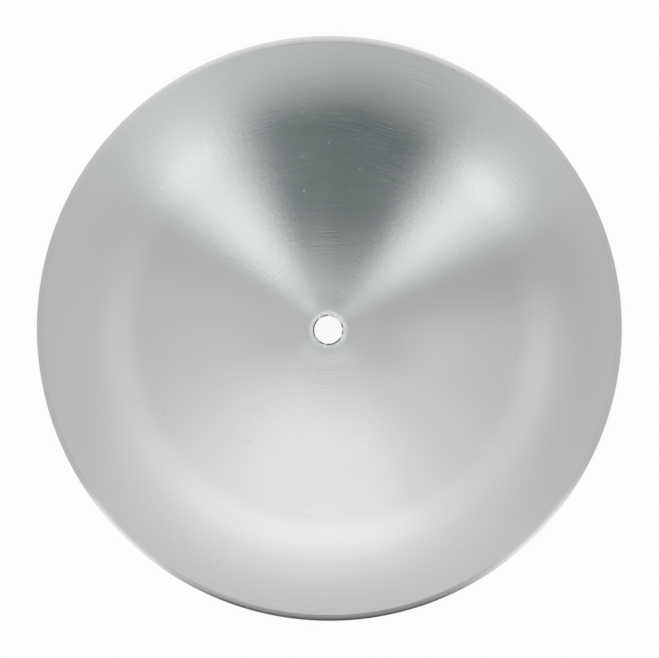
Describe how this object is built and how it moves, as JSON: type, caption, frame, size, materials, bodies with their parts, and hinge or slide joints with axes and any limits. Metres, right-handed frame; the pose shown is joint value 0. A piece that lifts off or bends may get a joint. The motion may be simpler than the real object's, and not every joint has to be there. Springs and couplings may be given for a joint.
{
  "type": "bell cymbal",
  "caption": "Thick satin aluminium bell cymbal: a shallow formed bell with a post hole in a near-flat crown, a straight flank, a turned-out brim and a bevelled rim.",
  "frame": {"origin": "on the axis, in the plane of the rim's flat underside", "axes": "+Z along the axis, up through the post hole towards the player's side of the crown; the cymbal is the same all round, and in the reference picture +Y is up and +X is right"},
  "size_m": [0.254, 0.254, 0.028],
  "materials": {
    "satin_aluminium": "satin, with fine circular brush marks"
  },
  "bodies": {
    "root": {"bell_cymbal": "satin_aluminium"}
  },
  "joints": []
}
